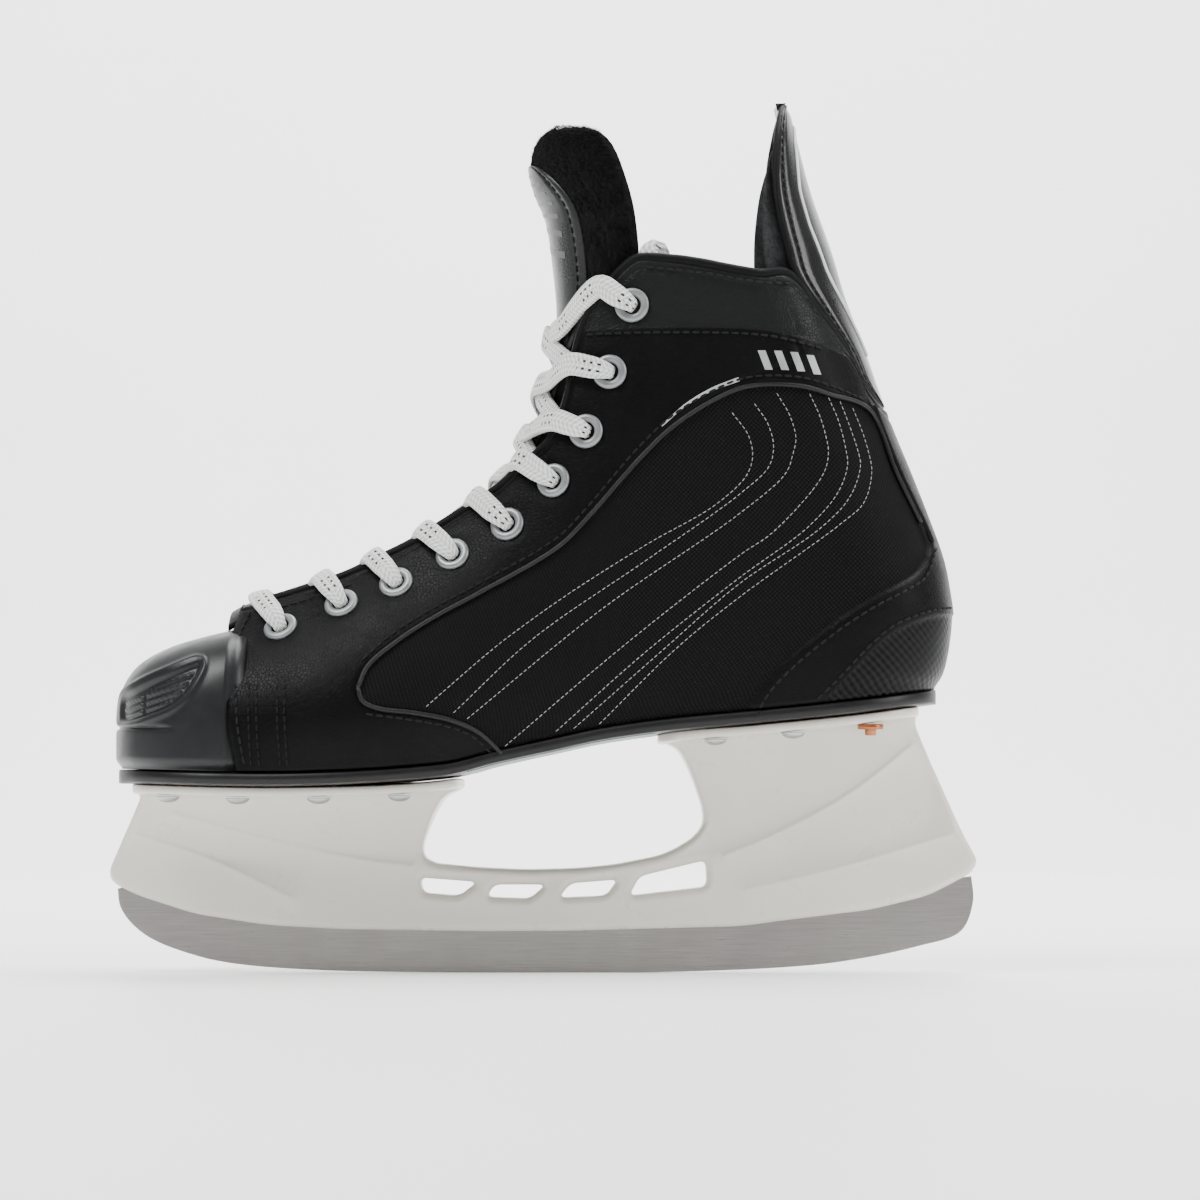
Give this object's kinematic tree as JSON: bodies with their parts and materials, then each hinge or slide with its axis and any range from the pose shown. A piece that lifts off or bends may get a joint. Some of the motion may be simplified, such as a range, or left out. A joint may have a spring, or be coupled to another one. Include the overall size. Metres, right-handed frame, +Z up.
{
  "type": "ice hockey skate",
  "caption": "Laced ice hockey skate with a stiff boot, padded tongue, tendon guard and a steel runner in a moulded blade holder.",
  "frame": {"origin": "middle of the skate's bounding box, on the ice", "axes": "+Z up, -X towards the toe, +X towards the heel, -Y towards the outer (lateral) side of this left skate"},
  "size_m": [0.298, 0.0974, 0.3004],
  "materials": {
    "leather": "semi-gloss",
    "vinyl": "gloss",
    "nylon": "woven",
    "felt": "fuzzy",
    "lace": "braided",
    "toe_plastic": "satin",
    "sole_plastic": "satin",
    "board": "fibreboard",
    "holder_plastic": "semi-gloss",
    "steel": "ground",
    "eyelet_metal": "satin",
    "rivet_steel": "satin",
    "copper": "copper, satin"
  },
  "bodies": {
    "boot": {"quarter_lateral": "leather", "facing_lateral": "leather", "side_panel_lateral": "nylon", "collar_band_lateral": "vinyl", "eyelet_lateral_1": "eyelet_metal", "eyelet_lateral_2": "eyelet_metal", "eyelet_lateral_3": "eyelet_metal", "eyelet_lateral_4": "eyelet_metal", "eyelet_lateral_5": "eyelet_metal", "eyelet_lateral_6": "eyelet_metal", "eyelet_lateral_7": "eyelet_metal", "eyelet_lateral_8": "eyelet_metal", "eyelet_lateral_9": "eyelet_metal", "rivet_front_lateral_1": "rivet_steel", "rivet_front_lateral_2": "rivet_steel", "rivet_front_lateral_3": "rivet_steel", "rivet_front_lateral_4": "rivet_steel", "rivet_rear_lateral_1": "rivet_steel", "rivet_rear_lateral_2": "rivet_steel", "rivet_rear_lateral_3": "copper", "quarter_medial": "leather", "facing_medial": "leather", "side_panel_medial": "nylon", "collar_band_medial": "vinyl", "eyelet_medial_1": "eyelet_metal", "eyelet_medial_2": "eyelet_metal", "eyelet_medial_3": "eyelet_metal", "eyelet_medial_4": "eyelet_metal", "eyelet_medial_5": "eyelet_metal", "eyelet_medial_6": "eyelet_metal", "eyelet_medial_7": "eyelet_metal", "eyelet_medial_8": "eyelet_metal", "eyelet_medial_9": "eyelet_metal", "rivet_front_medial_1": "rivet_steel", "rivet_front_medial_2": "rivet_steel", "rivet_front_medial_3": "rivet_steel", "rivet_front_medial_4": "rivet_steel", "rivet_rear_medial_1": "rivet_steel", "rivet_rear_medial_2": "rivet_steel", "rivet_rear_medial_3": "copper", "heel_overlay": "leather", "heel_patch": "nylon", "heel_counter": "board", "ankle_lining": "felt", "guard_base": "vinyl", "tongue": "felt", "toe_cap": "toe_plastic", "throat_strap": "leather", "outsole": "sole_plastic", "lasting_board": "board", "footbed": "felt", "blade_holder": "holder_plastic", "runner": "steel", "runner_bolt_front": "steel", "runner_bolt_rear": "steel", "lace": "lace"},
    "guard": {"tendon_guard": "vinyl", "guard_pad": "felt"},
    "tongue_top": {"tongue_top": "felt", "tongue_panel": "vinyl"}
  },
  "joints": [
    {"name": "guard_flex", "type": "hinge", "parent": "boot", "child": "guard", "pos_m": [0.1024, 0, 0.2398], "axis": [0, 1, 0], "range_deg": [0, 18], "stiffness_Nm_per_rad": 1.2},
    {"name": "tongue_fold", "type": "hinge", "parent": "boot", "child": "tongue_top", "pos_m": [0.002, 0, 0.2368], "axis": [0, -1, 0], "range_deg": [0, 50], "stiffness_Nm_per_rad": 0.15}
  ]
}
